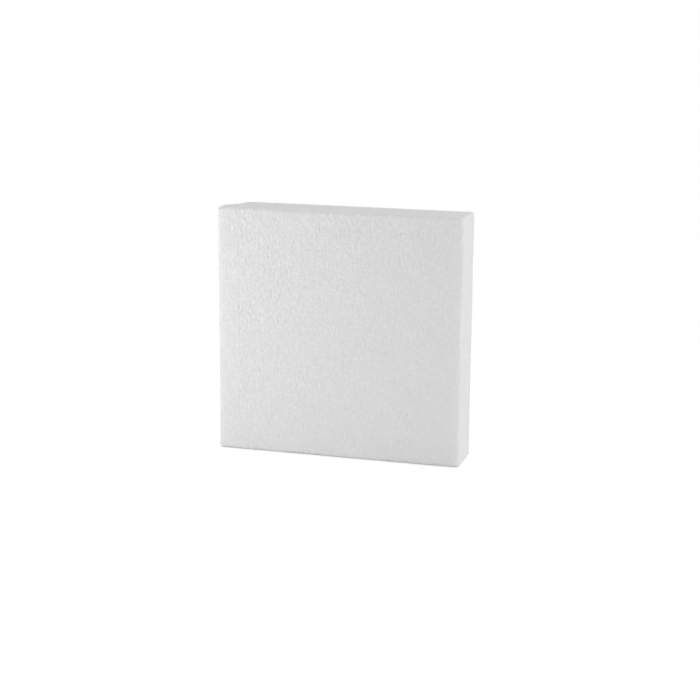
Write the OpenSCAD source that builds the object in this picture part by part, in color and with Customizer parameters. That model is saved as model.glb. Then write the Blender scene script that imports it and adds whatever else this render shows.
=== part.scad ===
// Rigid bead-foam block: a square slab that stands on one of its narrow faces.
// The broad front face looks towards -Y, and the origin is the middle of the base.

/* [Slab] */
// Width of the broad faces, side to side
slab_w = 250; // [120:1:400]
// Height of the slab as it stands
slab_h = 247; // [120:1:400]
// Thickness between the two broad faces
slab_t = 49; // [45:1:80]

/* [Edges] */
// Radius that the moulding leaves along every edge and corner
edge_r = 2.5; // [1:0.1:6]

/* [Knocked corner] */
// How far the knock reaches along the back top edge, from the left side
knock_w = 17; // [10:0.5:30]
// How far it reaches forward along the left top edge, from the back face
knock_t = 33; // [10:0.5:38]
// How far it reaches down the left back edge, from the top
knock_h = 12; // [8:0.5:30]
// Radius of the shallow scoop that the knock pressed out of the corner
knock_r = 70; // [50:1:120]

/* [Hidden] */
foam_color = "whitesmoke";
$fn = 32;

// Half sizes of the inner box that the edge rods and corner balls are centred on
core_x = slab_w / 2 - edge_r;
core_y = slab_t / 2 - edge_r;
core_z = slab_h / 2 - edge_r;

// The three points where the scoop leaves the square edges of the corner
corner = [-slab_w / 2, slab_t / 2, slab_h];
on_back = corner + [knock_w, 0, 0];
on_left = corner - [0, knock_t, 0];
on_post = corner - [0, 0, knock_h];

// Centre of the circle through three points a, b and c
function circle_centre(a, b, c) =
    let (u = b - a, v = c - a, n = cross(u, v))
    a + ((u * u) * cross(v, n) + (v * v) * cross(n, u)) / (2 * n * n);

// Centre of the ball of radius r whose skin holds a, b and c, on the side from which
// the three points run anticlockwise
function ball_centre(a, b, c, r) =
    let (m = circle_centre(a, b, c), n = cross(b - a, c - a), flat_r = norm(a - m))
    m + n / norm(n) * sqrt(r * r - flat_r * flat_r);

// A bar whose faces are one pair of the slab's own faces
module core_bar(grow) {
    size = 2 * [core_x, core_y, core_z] + 2 * edge_r * grow;
    cube(size, center = true);
}

// Four rods that round the edges running along one axis
module edge_rods(half_length, half_a, half_b) {
    for (a = [-1, 1], b = [-1, 1])
        translate([a * half_a, b * half_b, 0])
            cylinder(r = edge_r, h = 2 * half_length, center = true);
}

// The square slab with every edge and corner rounded
module rounded_slab() {
    core_bar([1, 0, 0]);
    core_bar([0, 1, 0]);
    core_bar([0, 0, 1]);
    edge_rods(core_z, core_x, core_y);
    rotate([90, 0, 0]) edge_rods(core_y, core_x, core_z);
    rotate([0, 90, 0]) edge_rods(core_x, core_z, core_y);
    for (x = [-1, 1], y = [-1, 1], z = [-1, 1])
        translate([x * core_x, y * core_y, z * core_z]) sphere(r = edge_r);
}

// The hollow that a knock left in the upper corner at the back, on the left
module knock() {
    translate(ball_centre(on_left, on_back, on_post, knock_r))
        sphere(r = knock_r, $fn = 96);
}

module foam_block() {
    color(foam_color)
        difference() {
            translate([0, 0, slab_h / 2]) rounded_slab();
            knock();
        }
}

foam_block();
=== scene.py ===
# %% [markdown]
# # A block of bead foam
#
# The real thing is one slab of white polystyrene foam. Thousands of small beads were steamed in
# a mould until they swelled and pressed each other into cells, so its whole skin is a mosaic of
# 3 to 6 mm beads with fine seams between them. There is nothing else on it, so all the care goes
# into that skin, and then into the light that lets it show.

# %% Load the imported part
import math

import bpy
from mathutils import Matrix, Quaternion, Vector


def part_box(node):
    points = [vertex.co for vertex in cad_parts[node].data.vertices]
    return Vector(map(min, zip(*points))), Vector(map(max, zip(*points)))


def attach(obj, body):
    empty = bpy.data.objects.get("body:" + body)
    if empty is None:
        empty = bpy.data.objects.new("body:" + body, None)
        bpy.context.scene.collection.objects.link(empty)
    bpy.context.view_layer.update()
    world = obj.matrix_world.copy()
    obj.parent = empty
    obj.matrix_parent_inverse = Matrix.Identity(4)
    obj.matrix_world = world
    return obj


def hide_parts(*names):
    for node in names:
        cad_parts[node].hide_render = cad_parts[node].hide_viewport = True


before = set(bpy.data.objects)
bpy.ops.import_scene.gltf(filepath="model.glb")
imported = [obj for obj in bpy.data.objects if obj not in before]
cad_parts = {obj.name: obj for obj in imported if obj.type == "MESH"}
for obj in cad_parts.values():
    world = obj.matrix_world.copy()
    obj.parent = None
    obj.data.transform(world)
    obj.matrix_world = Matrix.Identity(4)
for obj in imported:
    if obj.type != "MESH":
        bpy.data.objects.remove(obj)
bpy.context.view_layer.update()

MM = 0.001
low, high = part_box("foam_block")
slab_size = high - low
slab_middle = (low + high) / 2
print("slab in mm:", [round(side / MM, 2) for side in slab_size])

# %% [markdown]
# ## Writing nodes as sums
#
# A node tree for a shape or a finish is mostly arithmetic. It could be wired node by node, but
# then nobody can read the sum that it stands for. Here a `Wire` is one output socket that takes
# the signs of arithmetic, and each sign adds the Math node, or the Vector Math node, that does
# it. The reflected forms are there too, so that `1 - wire` works.

# %% A wire that can be used in a sum
VECTOR_KINDS = ("VECTOR", "RGBA")


class Wire:
    """One output socket, which can be used in a sum."""

    def __init__(self, graph, socket):
        self.graph = graph
        self.socket = socket

    def work(self, operation, *terms):
        """The result of one Math or Vector Math node on these terms."""
        wired = [term for term in terms if isinstance(term, Wire)]
        vector = any(term.socket.type in VECTOR_KINDS for term in wired)
        kind = "ShaderNodeVectorMath" if vector else "ShaderNodeMath"
        return self.graph.add(kind, {"operation": operation}, dict(enumerate(terms)))[0]

    def __add__(self, other):
        return self.work("ADD", self, other)

    __radd__ = __add__

    def __sub__(self, other):
        return self.work("SUBTRACT", self, other)

    def __rsub__(self, other):
        return self.work("SUBTRACT", other, self)

    def __mul__(self, other):
        return self.work("MULTIPLY", self, other)

    __rmul__ = __mul__

    def __truediv__(self, other):
        return self.work("DIVIDE", self, other)

    def __rtruediv__(self, other):
        return self.work("DIVIDE", other, self)

    def __neg__(self):
        return self.work("MULTIPLY", self, -1)

    def __abs__(self):
        return self.work("ABSOLUTE", self)

    def __lt__(self, other):
        return self.work("LESS_THAN", self, other)

    def __gt__(self, other):
        return self.work("GREATER_THAN", self, other)

    def least(self, other):
        return self.work("MINIMUM", self, other)

    def most(self, other):
        return self.work("MAXIMUM", self, other)

    def dot(self, other):
        """How far this vector reaches along the other one."""
        values = {0: self, 1: other}
        return self.graph.add("ShaderNodeVectorMath", {"operation": "DOT_PRODUCT"}, values)["Value"]

    def parts(self):
        """The x, y and z of a vector."""
        made = self.graph.add("ShaderNodeSeparateXYZ", {}, {0: self})
        return made["X"], made["Y"], made["Z"]

    def ramp(self, low_end, high_end):
        """0 below the low end and 1 above the high end, with a soft rise between them."""
        values = {"Value": self, "From Min": low_end, "From Max": high_end}
        return self.graph.add("ShaderNodeMapRange", {"interpolation_type": "SMOOTHSTEP"}, values)["Result"]


print("signs that add a node: + - * / < > abs")

# %% [markdown]
# Everything that isn't a sum comes from one method. It takes the node's type, then its settings,
# and then the values or wires of its inputs. The settings come first because they decide which
# inputs the node has: a Random Value node has four sets of them and shows only one.

# %% One method for every other node
class Made:
    """A node that was added, whose outputs are read by name or by place."""

    def __init__(self, graph, node):
        self.graph = graph
        self.node = node

    def __getitem__(self, key):
        return Wire(self.graph, pick(self.node.outputs, key))


class Graph:
    """A node tree, and the one method that adds a node to it."""

    def __init__(self, tree):
        self.tree = tree

    def add(self, kind, settings=None, values=None):
        """Adds a node of this kind, with its settings and the values or wires of its inputs."""
        node = self.tree.nodes.new(kind)
        for name, setting in (settings or {}).items():
            setattr(node, name, setting)
        for key, value in (values or {}).items():
            self.feed(pick(node.inputs, key), value)
        return Made(self, node)

    def feed(self, socket, value):
        """Links a wire to an input, or sets a plain value on it."""
        if isinstance(value, Wire):
            self.tree.links.new(value.socket, socket)
        elif socket.type == "VECTOR" and isinstance(value, (int, float)):
            socket.default_value = (value, value, value)
        else:
            socket.default_value = value


def pick(sockets, key):
    """The socket with this name or place among those that the node shows."""
    shown = [socket for socket in sockets if socket.enabled]
    return shown[key] if isinstance(key, int) else next(s for s in shown if s.name == key)


print("a node comes from: kind, settings, values")

# %% [markdown]
# ## The bead skin
#
# The skin could be a bump pattern on a smooth box, but a bump leaves the outline ruler straight,
# and foam is never that: each edge of it is a row of beads. It could be thousands of loose
# balls, but then the block would be hollow and far too heavy to draw. So the skin is one closed
# mesh in which each bead has a face of its own, with a ring of narrow walls round it.
#
# Geometry Nodes lay a box of points over the slab, one point to a bead, and draw them onto the
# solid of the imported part. The knobs below are the sizes that the tree takes. Its input mesh
# holds no faces at all, only the places of the few deeper pits.
#
# Coarseness is the strength of the relief in the middle of a broad face, and Coarse Towards the
# way in which it grows. Patch says how uneven it is, and Calm what is left of it on the narrow
# faces, which came out smoother than the broad ones.

# %% Sizes of the beads
SKIN_KNOBS = {
    "Solid": ("NodeSocketObject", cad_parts["foam_block"]),
    "Slab Size": ("NodeSocketVector", slab_size),
    "Slab Middle": ("NodeSocketVector", slab_middle),
    "Bead Size": ("NodeSocketFloat", 4.1 * MM),
    "Shake": ("NodeSocketFloat", 1.35 * MM),
    "Drift": ("NodeSocketFloat", 7.0 * MM),
    "Drift Scale": ("NodeSocketFloat", 26.0),
    "Bead Top": ("NodeSocketFloat", 0.5),
    "Bead Sink": ("NodeSocketFloat", 0.12 * MM),
    "Bead Tilt": ("NodeSocketFloat", 0.1),
    "Heave": ("NodeSocketFloat", 0.18 * MM),
    "Heave Scale": ("NodeSocketFloat", 110.0),
    "Seam Depth": ("NodeSocketFloat", 0.08 * MM),
    "Crease": ("NodeSocketFloat", 0.75),
    "Coarseness": ("NodeSocketFloat", 1.1),
    "Coarse Towards": ("NodeSocketVector", (-0.6, 0.0, 0.5)),
    "Patch": ("NodeSocketFloat", 0.8),
    "Patch Scale": ("NodeSocketFloat", 22.0),
    "Calm": ("NodeSocketFloat", 0.4),
    "Pit Depth": ("NodeSocketFloat", 0.45 * MM),
    "Pit Share": ("NodeSocketFloat", 0.008),
    "Mark Reach": ("NodeSocketFloat", 2.4 * MM),
    "Mark Depth": ("NodeSocketFloat", 1.2 * MM),
    "Lost Depth": ("NodeSocketFloat", 0.5 * MM),
    "Lost Share": ("NodeSocketFloat", 0.002),
    "Knock Rough": ("NodeSocketFloat", 0.3 * MM),
    "Seed": ("NodeSocketInt", 7),
    "Finish": ("NodeSocketMaterial", None),
}
print("bead pitch in mm:", round(SKIN_KNOBS["Bead Size"][1] / MM, 2))

# %% [markdown]
# A plain grid of points would give rows of square beads. Two movements break the rows. A slow
# drift crowds the points in one place and spreads them in another, so bead sizes vary, and a
# quick shake moves each point by itself. The drift dies out towards the edges of the slab, where
# the points are needed. Blurring once evens out the worst neighbours, and each move ends by
# drawing the points back onto the solid.
#
# A side needs one point more than it has gaps, and half a point more makes the count round to the
# nearest. A noise gives numbers round 0.5, so that much is taken off where it has to move things
# both ways, and twice the rest is a full throw.

# %% Lay the points on the solid
POINTS_OVER_GAPS = 1.5
NOISE_MIDDLE = 0.5
DRIFT_DETAIL = 1.0
BLUR_WEIGHT = 0.5


def onto_solid(graph, solid, place):
    """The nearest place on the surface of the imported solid."""
    values = {"Geometry": solid, "Sample Position": place}
    return graph.add("GeometryNodeProximity", {"target_element": "FACES"}, values)["Position"]


def moved(graph, mesh, place):
    """The mesh with its points set at these places."""
    return graph.add("GeometryNodeSetPosition", {}, {"Geometry": mesh, "Position": place})["Geometry"]


def throw(graph, seed):
    """A random vector for each point or bead, with parts from -1 to 1."""
    values = {"Min": (-1, -1, -1), "Max": (1, 1, 1), "Seed": seed}
    return graph.add("FunctionNodeRandomValue", {"data_type": "FLOAT_VECTOR"}, values)["Value"]


def bead_net(graph, knob, solid):
    """A closed net of triangles with one point where each bead will be."""
    counts = (knob["Slab Size"] / knob["Bead Size"] + POINTS_OVER_GAPS).parts()
    sizes = {"Size": knob["Slab Size"]}
    sizes.update(zip(("Vertices X", "Vertices Y", "Vertices Z"), counts))
    net = graph.add("GeometryNodeMeshCube", {}, sizes)["Mesh"]
    place = graph.add("GeometryNodeInputPosition")["Position"]
    share = place / (knob["Slab Size"] / 2)
    squared = share * share
    slack = 1 - squared * squared
    values = {"Vector": place, "Scale": knob["Drift Scale"], "Detail": DRIFT_DETAIL}
    drift = graph.add("ShaderNodeTexNoise", {}, values)["Color"]
    drift = (drift - NOISE_MIDDLE) * knob["Drift"] * slack * 2
    shaken = place + drift + throw(graph, knob["Seed"]) * knob["Shake"] + knob["Slab Middle"]
    net = moved(graph, net, onto_solid(graph, solid, shaken))
    values = {"Value": place, "Iterations": 1, "Weight": BLUR_WEIGHT}
    eased = graph.add("GeometryNodeBlurAttribute", {"data_type": "FLOAT_VECTOR"}, values)["Value"]
    net = moved(graph, net, onto_solid(graph, solid, eased))
    settings = {"quad_method": "SHORTEST_DIAGONAL"}
    return graph.add("GeometryNodeTriangulate", settings, {"Mesh": net})["Mesh"]


for name in ("Drift", "Shake"):
    print(name.lower(), "in mm:", round(SKIN_KNOBS[name][1] / MM, 2))

# %% [markdown]
# Next come the small steps that the beads are made with. One keeps a value on each face as it is
# now, so that the parts which are later pulled out of that face still know it. Others draw a random
# number, store a number under a name for the finish to read, and push points along an offset. Each
# draw adds a number of its own to the seed, so that no two of them are alike.

# %% Keep, draw, store and push
def captured(graph, mesh, fields):
    """Keeps these fields on the faces as they are now: gives the mesh, and a wire for each."""
    made = graph.add("GeometryNodeCaptureAttribute", {"domain": "FACE"})
    kinds = {"VALUE": "FLOAT", "VECTOR": "VECTOR"}
    for name, field in fields.items():
        made.node.capture_items.new(kinds[field.socket.type], name)
    graph.feed(made.node.inputs[0], mesh)
    for at, field in enumerate(fields.values()):
        graph.feed(made.node.inputs[at + 1], field)
    return made["Geometry"], {name: made[name] for name in fields}


def chance(graph, seed):
    """A random number from 0 to 1 for each bead or point."""
    values = {"Min": 0.0, "Max": 1.0, "Seed": seed}
    return graph.add("FunctionNodeRandomValue", {"data_type": "FLOAT"}, values)["Value"]


def named(graph, mesh, name, domain, value, chosen=True):
    """The mesh with this value stored under a name, for the finish to read."""
    values = {"Geometry": mesh, "Selection": chosen, "Name": name, "Value": value}
    settings = {"data_type": "FLOAT", "domain": domain}
    return graph.add("GeometryNodeStoreNamedAttribute", settings, values)["Geometry"]


def pushed(graph, mesh, chosen, offset):
    """The mesh with its chosen points moved by this much."""
    values = {"Geometry": mesh, "Selection": chosen, "Offset": offset}
    return graph.add("GeometryNodeSetPosition", {}, values)["Geometry"]


print("kept on each face, stored on points and faces")

# %% [markdown]
# How strong the relief is depends on the place. The knocked corner is known by its depth under the
# slab's box, since no rounded edge lies that deep. The broad faces are known by how far across the
# thickness a place is, as a share of the slab's size from its middle, and towards the two upright
# ends the relief fades again. The noise of the swells is turned, because one that is cut along its
# own grid shows rows.

# %% Where the relief is strong, and how deep it goes
KNOCK_DEPTHS = (0.8 * MM, 1.6 * MM)
FACE_SHARES = (0.4, 0.49)
END_SHARES = (0.4, 0.56)
PATCH_DETAIL = 1.0
NOISE_TURN = (0.9, 0.4, -0.7)
HEAVE_DETAIL = 1.5
HEAVE_RANGE = (0.2, 0.8)


def knocked(knob, place):
    """1 in the knocked corner, which lies deeper than any rounded edge does, and 0 elsewhere."""
    x, y, z = (knob["Slab Size"] / 2 - abs(place - knob["Slab Middle"])).parts()
    return x.least(y).least(z).ramp(*KNOCK_DEPTHS)


def coarseness(graph, knob, place):
    """How strong the relief is here: strongest at the upper left, uneven, weak on narrow faces."""
    share = (place - knob["Slab Middle"]) / knob["Slab Size"]
    values = {"Vector": place, "Scale": knob["Patch Scale"], "Detail": PATCH_DETAIL}
    patch = (graph.add("ShaderNodeTexNoise", {}, values)["Fac"] - NOISE_MIDDLE) * knob["Patch"]
    x, y, _ = abs(share).parts()
    broad = y.ramp(*FACE_SHARES) * (1 - x.ramp(*END_SHARES))
    strong = knob["Coarseness"] + share.dot(knob["Coarse Towards"]) + patch
    return strong * (knob["Calm"] + broad * (1 - knob["Calm"]))


def heave(graph, knob, place):
    """How deep the skin sags here, in soft swells a few beads wide."""
    values = {"Vector": place, "Rotation": NOISE_TURN}
    turned = graph.add("ShaderNodeVectorRotate", {"rotation_type": "EULER_XYZ"}, values)["Vector"]
    values = {"Vector": turned, "Scale": knob["Heave Scale"], "Detail": HEAVE_DETAIL}
    return graph.add("ShaderNodeTexNoise", {}, values)["Fac"].ramp(*HEAVE_RANGE) * knob["Heave"]


def pits(graph, knob, marks, place):
    """How deep the gap is between the beads that meet here: some by chance, and the marks."""
    by_chance = (chance(graph, knob["Seed"] + 4) < knob["Pit Share"]) * knob["Pit Depth"]
    values = {"Geometry": marks, "Sample Position": place}
    far = graph.add("GeometryNodeProximity", {"target_element": "POINTS"}, values)["Distance"]
    return by_chance + (1 - (far / knob["Mark Reach"]).ramp(0, 1)) * knob["Mark Depth"]


print("soft swells up to", round(SKIN_KNOBS["Heave"][1] / MM, 2), "mm deep")

# %% [markdown]
# The dual of the net has one many-sided face round every point, just as neighbouring beads
# press each other flat. Each face is then extruded by nothing and shrunk, which leaves a ring of
# narrow walls round a smaller top. Sinking the outer points of that ring makes the seams, and
# the tops get what real beads have: each lies a little deeper or more tilted than the next, and
# groups of them heave together. No top may rise above the solid, because the mould's wall
# stopped it there.

# %% Turn every point into a bead
SEAM_LEAST = 0.6
SEAM_SPREAD = 0.8
KNOCK_TILT = 2


def beads(graph, knob, solid, net, marks):
    """The mesh with one raised, slightly tilted top for each bead, and seams between them."""
    place = graph.add("GeometryNodeInputPosition")["Position"]
    normal = graph.add("GeometryNodeInputNormal")["Normal"]
    mesh = graph.add("GeometryNodeDualMesh", {}, {"Mesh": net})["Dual Mesh"]
    mesh = moved(graph, mesh, onto_solid(graph, solid, place))
    fields = {
        "centre": place,
        "out": normal,
        "tilt": throw(graph, knob["Seed"] + 1),
        "sink": chance(graph, knob["Seed"] + 2),
        "luck": chance(graph, knob["Seed"] + 3),
        "knock": knocked(knob, place),
        "coarse": coarseness(graph, knob, place),
    }
    mesh, bead = captured(graph, mesh, fields)
    values = {"Mesh": mesh, "Offset Scale": 0.0, "Individual": True}
    made = graph.add("GeometryNodeExtrudeMesh", {"mode": "FACES"}, values)
    top = made["Top"]
    values = {"Geometry": made["Mesh"], "Selection": top, "Scale": knob["Bead Top"]}
    mesh = graph.add("GeometryNodeScaleElements", {"domain": "FACE"}, values)["Geometry"]
    swell = heave(graph, knob, place)
    lean = (place - bead["centre"]).dot(bead["tilt"]) * knob["Bead Tilt"]
    lean = lean * (bead["coarse"] + bead["knock"] * KNOCK_TILT)
    lost = (bead["luck"] < knob["Lost Share"]) * knob["Lost Depth"]
    sink = bead["sink"] * (knob["Bead Sink"] + bead["knock"] * knob["Knock Rough"])
    sink = sink + lost + swell
    mesh = pushed(graph, mesh, top, bead["out"] * (lean - sink).least(0))
    seam = graph.add("FunctionNodeBooleanMath", {"operation": "NOT"}, {0: top})["Boolean"]
    uneven = SEAM_LEAST + SEAM_SPREAD * chance(graph, knob["Seed"] + 5)
    coarse = coarseness(graph, knob, place)
    depth = knob["Seam Depth"] * uneven * coarse + knob["Bead Sink"] / 2 + swell
    depth = depth + pits(graph, knob, marks, place)
    mesh = pushed(graph, mesh, seam, bead["out"] * -depth)
    mesh = named(graph, mesh, "coarse", "POINT", coarse)
    mesh = named(graph, mesh, "seam", "POINT", 1.0, seam)
    mesh = named(graph, mesh, "bead", "FACE", bead["sink"])
    values = {"Name": "seam"}
    share = graph.add("GeometryNodeInputNamedAttribute", {"data_type": "FLOAT"}, values)["Attribute"]
    values = {"Geometry": mesh, "Selection": share > knob["Crease"], "Shade Smooth": False}
    return graph.add("GeometryNodeSetShadeSmooth", {"domain": "EDGE"}, values)["Geometry"]


print("a bead lies up to", round(SKIN_KNOBS["Bead Sink"][1] / MM, 2), "mm deeper than the next")

# %% [markdown]
# The tree joins these steps. Its interface has one named input for each knob, and it ends in
# Realize Instances and Set Material, so that what comes out is a plain mesh with its finish on.

# %% Build the tree of the skin
def skin_tree(knobs):
    """The Geometry Nodes tree of the skin."""
    tree = bpy.data.node_groups.new("bead_skin", "GeometryNodeTree")
    tree.interface.new_socket("Marks", in_out="INPUT", socket_type="NodeSocketGeometry")
    for name, (kind, _) in knobs.items():
        tree.interface.new_socket(name, in_out="INPUT", socket_type=kind)
    tree.interface.new_socket("Skin", in_out="OUTPUT", socket_type="NodeSocketGeometry")
    graph = Graph(tree)
    inputs = graph.add("NodeGroupInput")
    knob = {name: inputs[name] for name in knobs}
    settings = {"transform_space": "RELATIVE"}
    found = graph.add("GeometryNodeObjectInfo", settings, {"Object": knob["Solid"]})
    solid = found["Geometry"]
    net = bead_net(graph, knob, solid)
    mesh = beads(graph, knob, solid, net, inputs["Marks"])
    mesh = graph.add("GeometryNodeSetShadeSmooth", {"domain": "FACE"}, {"Geometry": mesh})["Geometry"]
    mesh = graph.add("GeometryNodeRealizeInstances", {}, {"Geometry": mesh})["Geometry"]
    values = {"Geometry": mesh, "Material": knob["Finish"]}
    mesh = graph.add("GeometryNodeSetMaterial", {}, values)["Geometry"]
    graph.add("NodeGroupOutput", {}, {"Skin": mesh})
    return tree


print("inputs of the tree:", len(SKIN_KNOBS) + 1)

# %% [markdown]
# ## The finish
#
# Bead foam is a dull white all through. Each bead is a froth of tiny cells, so light goes about
# a centimetre into it and comes out again, and a face glows a little beside a brightly lit edge.
# Plain paint would look like plaster there, so the shader scatters light under its skin. The tone differs
# a little from bead to bead. The seams are greyer: partly dirt, and partly painted shade in the grooves
# between the beads.
#
# The steam also leaves the skin of the beads puckered into low domes, 2 to 3 mm wide. They are too fine to
# model, so a bump carries them, and the cells of the froth with them. The crown of each dome is painted
# whiter than its foot. This is painted light on the crown and painted shade at the foot, as if the dome
# were lit. All of it is stronger in some places than in others, and the mesh says where: its points hold
# the number that the coarseness above gave them. The pattern is squeezed, so that the domes are taller
# than they are wide, and turned for the same reason as the swells.

# %% Sizes and tones of the finish
FOAM_WHITE = 0.83
BEAD_TONE = 0.015
SINK_MIDDLE = 0.5
CLOUD_TONE = 0.02
CLOUDS_PER_METRE = 35.0
CLOUD_DETAIL = 2.0
# How much greyer the seams are: partly dirt, partly painted shade in the grooves.
SEAM_DIRT_AND_SHADE = 0.012
ROUGHNESS = 0.62
ROUGHNESS_SPREAD = 0.1
FOAM_IOR = 1.4
GLOW_WEIGHT = 0.3
GLOW_DEPTH = 12 * MM
GLOW_SHARES = (1, 1, 1)
PUCKER_HEIGHT = 0.6 * MM
PUCKERS_PER_METRE = 380
PUCKER_DETAIL = 1.0
PUCKER_TURN = (0.6, 0.5, 0.9)
PUCKER_SHAPE = (1.2, 1.2, 0.7)
DOME_HEIGHT = 0.42 * MM
DOMES_PER_METRE = 350
# Painted light and shade of the domes: lighter crowns, darker feet.
PAINTED_CROWN_LIGHT = 0.065
CROWN_REACH = 0.5
CROWN_MEAN = 0.3
CELL_HEIGHT = 0.02 * MM
CELLS_PER_METRE = 1900
print("domes in mm:", round(1 / (DOMES_PER_METRE * PUCKER_SHAPE[0] * MM), 1), "wide")

# %% [markdown]
# A few single marks of the front are set one by one, each by its place in millimetres across the face and
# up from the ground. Three faint upright lines are where something slid along the foam, and their third
# number is half their length. Five small flecks are beads that kept their bright skin.

# %% Marks on the front
DRAG_LINES = ((5.9, 102, 20), (-15.6, 76, 19), (18.5, 60, 30))
DRAG_WIDTH = 1.1 * MM
DRAG_HEIGHT = 0.3 * MM
DRAG_FADE = 0.7
FLECKS = ((-10.9, 193.5), (-11.8, 160.6), (-23.3, 213.6), (-79.1, 217.7), (-4.5, 133.1))
FLECK_SIZE = 1.5 * MM
FLECK_TONE = 0.07
MARKED_SKIN = 1 * MM
front_y = low.y


def drag_lines(place):
    """The height of the faint upright lines that something left as it slid over the front."""
    x, y, z = place.parts()
    height = 0.0
    for across, up, half in DRAG_LINES:
        side = 1 - (abs(x - across * MM) / DRAG_WIDTH).ramp(0, 1)
        along = 1 - (abs(z - up * MM) / (half * MM)).ramp(DRAG_FADE, 1)
        height = height + side * along
    return height * (y < front_y + MARKED_SKIN)


def flecks(place):
    """1 at the few spots of the front where a bead kept its bright, closed skin."""
    x, y, z = place.parts()
    found = 0.0
    for across, up in FLECKS:
        aside = x - across * MM
        above = z - up * MM
        far = (aside * aside + above * above) / FLECK_SIZE ** 2
        found = found + (1 - far.ramp(0, 1))
    return found * (y < front_y + MARKED_SKIN)


print("marks on the front:", len(DRAG_LINES), "lines and", len(FLECKS), "flecks")

# %% Foam finish
def foam_finish():
    """White bead foam."""
    material = bpy.data.materials.new("white_bead_foam")
    material.use_nodes = True
    material.node_tree.nodes.clear()
    graph = Graph(material.node_tree)
    place = graph.add("ShaderNodeTexCoord")["Object"]
    bead = graph.add("ShaderNodeAttribute", {"attribute_name": "bead"})["Fac"]
    seam = graph.add("ShaderNodeAttribute", {"attribute_name": "seam"})["Fac"]
    values = {"Vector": place, "Scale": CLOUDS_PER_METRE, "Detail": CLOUD_DETAIL}
    cloud = graph.add("ShaderNodeTexNoise", {}, values)["Fac"] - NOISE_MIDDLE
    coarse = graph.add("ShaderNodeAttribute", {"attribute_name": "coarse"})["Fac"]
    values = {"Vector": place, "Rotation": PUCKER_TURN, "Scale": PUCKER_SHAPE}
    turned = graph.add("ShaderNodeMapping", {}, values)["Vector"]
    values = {"Vector": turned, "Scale": PUCKERS_PER_METRE, "Detail": PUCKER_DETAIL}
    puckers = (graph.add("ShaderNodeTexNoise", {}, values)["Fac"] - NOISE_MIDDLE) * coarse
    values = {"Vector": turned, "Scale": DOMES_PER_METRE}
    aside = graph.add("ShaderNodeTexVoronoi", {}, values)["Distance"]
    domes = (1 - aside * aside) * coarse
    # Painted light and shade: each dome is lighter at its crown and darker at its foot.
    lit_crown = (1 - aside.ramp(0, CROWN_REACH)) * coarse
    # The seam term darkens the grooves: partly dirt, partly painted shade.
    tone = FOAM_WHITE + BEAD_TONE * (bead - SINK_MIDDLE) + CLOUD_TONE * cloud - SEAM_DIRT_AND_SHADE * seam
    # The crown term is painted light and shade of the domes.
    tone = tone + FLECK_TONE * flecks(place) + PAINTED_CROWN_LIGHT * (lit_crown - CROWN_MEAN)
    values = {"Red": tone, "Green": tone, "Blue": tone}
    colour = graph.add("ShaderNodeCombineColor", {}, values)["Color"]
    cells = graph.add("ShaderNodeTexVoronoi", {}, {"Vector": place, "Scale": CELLS_PER_METRE})["Distance"]
    height = puckers * PUCKER_HEIGHT + domes * DOME_HEIGHT - cells * CELL_HEIGHT
    height = height + drag_lines(place) * DRAG_HEIGHT
    values = {"Height": height, "Distance": 1.0, "Strength": 1.0}
    bump = graph.add("ShaderNodeBump", {}, values)["Normal"]
    values = {
        "Base Color": colour,
        "Roughness": ROUGHNESS + ROUGHNESS_SPREAD * cloud,
        "IOR": FOAM_IOR,
        "Normal": bump,
        "Subsurface Weight": GLOW_WEIGHT,
        "Subsurface Radius": GLOW_SHARES,
        "Subsurface Scale": GLOW_DEPTH,
    }
    shader = graph.add("ShaderNodeBsdfPrincipled", {}, values)["BSDF"]
    graph.add("ShaderNodeOutputMaterial", {}, {"Surface": shader})
    return material


SKIN_KNOBS["Finish"] = ("NodeSocketMaterial", foam_finish())
print("light goes about", round(GLOW_DEPTH / MM), "mm into the foam")

# %% [markdown]
# ## Grow the block
#
# The start mesh is only the points where the photograph shows a deeper pit. The knobs are set by
# each input's identifier before the object is evaluated for the first time, and the result is
# taken as a plain mesh, so that the block no longer depends on its modifier.

# %% Grow the block
PIT_MARKS = ((-81.7, 85.1), (-92.0, 243.9), (21.3, 229.6), (116.7, 240.9))


def grow_skin(name, knobs, marks):
    """The skin as a plain mesh object."""
    tree = skin_tree(knobs)
    start = bpy.data.meshes.new(name + "_marks")
    start.from_pydata([(x * MM, front_y, z * MM) for x, z in marks], [], [])
    block = bpy.data.objects.new(name, start)
    bpy.context.scene.collection.objects.link(block)
    nodes = block.modifiers.new("skin", "NODES")
    nodes.node_group = tree
    for item in tree.interface.items_tree:
        if item.in_out == "INPUT" and item.name in knobs:
            nodes[item.identifier] = knobs[item.name][1]
    ready = bpy.context.evaluated_depsgraph_get()
    mesh = bpy.data.meshes.new_from_object(block.evaluated_get(ready), depsgraph=ready)
    block.modifiers.remove(nodes)
    block.data = mesh
    bpy.data.meshes.remove(start)
    mesh.name = name
    return block


block = grow_skin("bead_foam_block", SKIN_KNOBS, PIT_MARKS)
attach(block, "root")
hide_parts("foam_block")
triangles = sum(len(face.vertices) - 2 for face in block.data.polygons)
print("faces:", len(block.data.polygons), "triangles:", triangles)

# %% [markdown]
# ## Floor and world
#
# The photograph has a pure white ground. More light would bring that, and would burn out the
# white foam too. So the floor and the world stay dim for the light that they send to the block,
# and only what the camera, a glossy ray or a transmission ray sees of them is brought up to
# white. Near the block the floor is still a lit surface, so it keeps the block's shadow, and
# further out it fades into the even white behind it. The fade goes by the square of the distance,
# in square metres, which saves a root.

# %% Floor
FLOOR_HALF = 8.0
FLOOR_TONE = (0.9, 0.9, 0.9, 1)
FLOOR_GLOW = 0.4
FADE_SQUARES = (0.15, 0.6)
WHITE = (1, 1, 1, 1)


def seen_ray(graph):
    """1 on the rays that see the ground as white, and 0 on those that carry its light."""
    path = graph.add("ShaderNodeLightPath")
    return path["Is Camera Ray"].most(path["Is Glossy Ray"]).most(path["Is Transmission Ray"])


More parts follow.
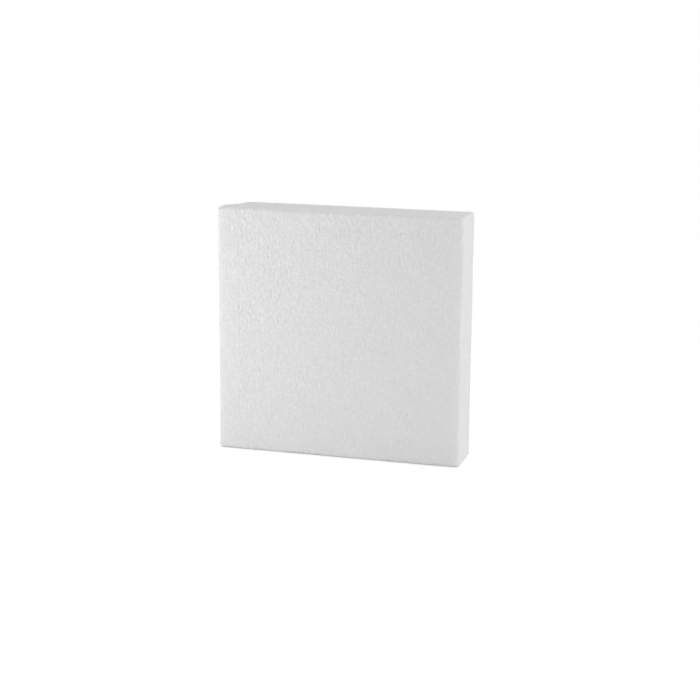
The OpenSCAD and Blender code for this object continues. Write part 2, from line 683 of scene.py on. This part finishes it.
def floor_finish():
    """A matte floor that is white to the eye, with a soft shadow, and plain white further out."""
    material = bpy.data.materials.new("pale_floor")
    material.use_nodes = True
    material.node_tree.nodes.clear()
    graph = Graph(material.node_tree)
    seen = seen_ray(graph)
    x, y, _ = graph.add("ShaderNodeTexCoord")["Object"].parts()
    away = (x * x + y * y).ramp(*FADE_SQUARES)
    plain = graph.add("ShaderNodeBsdfDiffuse", {}, {"Color": FLOOR_TONE})["BSDF"]
    values = {"Color": WHITE, "Strength": seen * FLOOR_GLOW}
    lift = graph.add("ShaderNodeEmission", {}, values)["Emission"]
    near = graph.add("ShaderNodeAddShader", {}, {0: plain, 1: lift})["Shader"]
    far = graph.add("ShaderNodeEmission", {}, {"Color": WHITE, "Strength": 1.0})["Emission"]
    both = graph.add("ShaderNodeMixShader", {}, {"Fac": away * seen, 1: near, 2: far})["Shader"]
    graph.add("ShaderNodeOutputMaterial", {}, {"Surface": both})
    return material


def make_floor():
    """One large square at the height that the block stands on."""
    mesh = bpy.data.meshes.new("floor")
    ends = (-FLOOR_HALF, FLOOR_HALF)
    mesh.from_pydata([(x, y, 0) for y in ends for x in ends], [], [(0, 1, 3, 2)])
    mesh.materials.append(floor_finish())
    floor = bpy.data.objects.new("floor", mesh)
    bpy.context.scene.collection.objects.link(floor)


make_floor()
print("floor in metres:", 2 * FLOOR_HALF)

# %% World
AMBIENT = 0.44


def make_world():
    """An even soft light from all round, which looks white."""
    world = bpy.data.worlds.new("studio")
    world.use_nodes = True
    world.node_tree.nodes.clear()
    graph = Graph(world.node_tree)
    strength = AMBIENT + seen_ray(graph) * (1 - AMBIENT)
    sky = graph.add("ShaderNodeBackground", {}, {"Color": WHITE, "Strength": strength})["Background"]
    graph.add("ShaderNodeOutputWorld", {}, {"Surface": sky})
    bpy.context.scene.world = world


make_world()
print("light from all round:", AMBIENT)

# %% [markdown]
# ## Lamps
#
# The relief of the beads is a tenth of a millimetre, so it only shows in light that grazes the
# face. One big lamp in front would wipe it out. Here two lamps stand on the left, not far in
# front of the face. The key is near, and makes the left side of the face the brightest, and the
# wide one carries the grazing light across. A lamp straight in front lifts the whole face a little.
# On the right a lamp looks at the narrow side, which is why that side is so bright and even. The
# last one lights the top from above and a little behind, so that none of it runs down the face.
#
# A lamp is placed by its direction from the middle of the block, as degrees round from the front
# and degrees up, and by its distance in metres. Its size in metres and its watts come after that.

# %% Lamps
LAMPS = {
    "key": (-55, 9.5, 0.6, 0.24, 0.64),
    "wide_left": (-55, 5, 1.0, 0.4, 1.23),
    "front": (0, 0, 1.8, 0.72, 6.6),
    "right_side": (95, 12, 1.8, 0.72, 10.4),
    "top_back": (175, 70, 1.8, 0.72, 6.8),
}


def direction(azimuth, elevation):
    """A unit vector that points this many degrees round from the front, and this many up."""
    round_angle = math.radians(azimuth)
    up_angle = math.radians(elevation)
    level = math.cos(up_angle)
    return Vector((math.sin(round_angle) * level, -math.cos(round_angle) * level, math.sin(up_angle)))


def looking(name, data, aim, azimuth, elevation, distance, roll=0.0):
    """A lamp or a camera that looks at the aim from this direction and distance."""
    away = direction(azimuth, elevation)
    holder = bpy.data.objects.new(name, data)
    holder.location = aim + away * distance
    holder.rotation_mode = "QUATERNION"
    turn = Quaternion((0, 0, 1), math.radians(roll))
    holder.rotation_quaternion = (-away).to_track_quat("-Z", "Y") @ turn
    bpy.context.scene.collection.objects.link(holder)
    return holder


def lamp(name, azimuth, elevation, distance, size, watts):
    """A square soft light that looks at the middle of the block."""
    light = bpy.data.lights.new(name, "AREA")
    light.shape = "SQUARE"
    light.size = size
    light.energy = watts
    return looking(name, light, slab_middle, azimuth, elevation, distance)


for name, setting in LAMPS.items():
    lamp(name, *setting)
print("lamps:", len(LAMPS), "with", sum(setting[-1] for setting in LAMPS.values()), "W in all")

# %% [markdown]
# ## Camera
#
# The camera stands to the right of the block and a little above it, with a long lens. Its angles
# were worked out from the corners that the photograph shows.

# %% Camera
AZIMUTH = 16.255
ELEVATION = 12.349
ROLL = 0.445
DISTANCE = 1.711
LENS = 88.188
AIM = Vector((0.0066, -0.0021, 0.1060))

lens = bpy.data.cameras.new("camera")
lens.lens = LENS
bpy.context.scene.camera = looking("camera", lens, AIM, AZIMUTH, ELEVATION, DISTANCE, ROLL)
bpy.context.scene.view_settings.view_transform = "Standard"
print("camera at", DISTANCE, "m with a lens of", LENS, "mm")
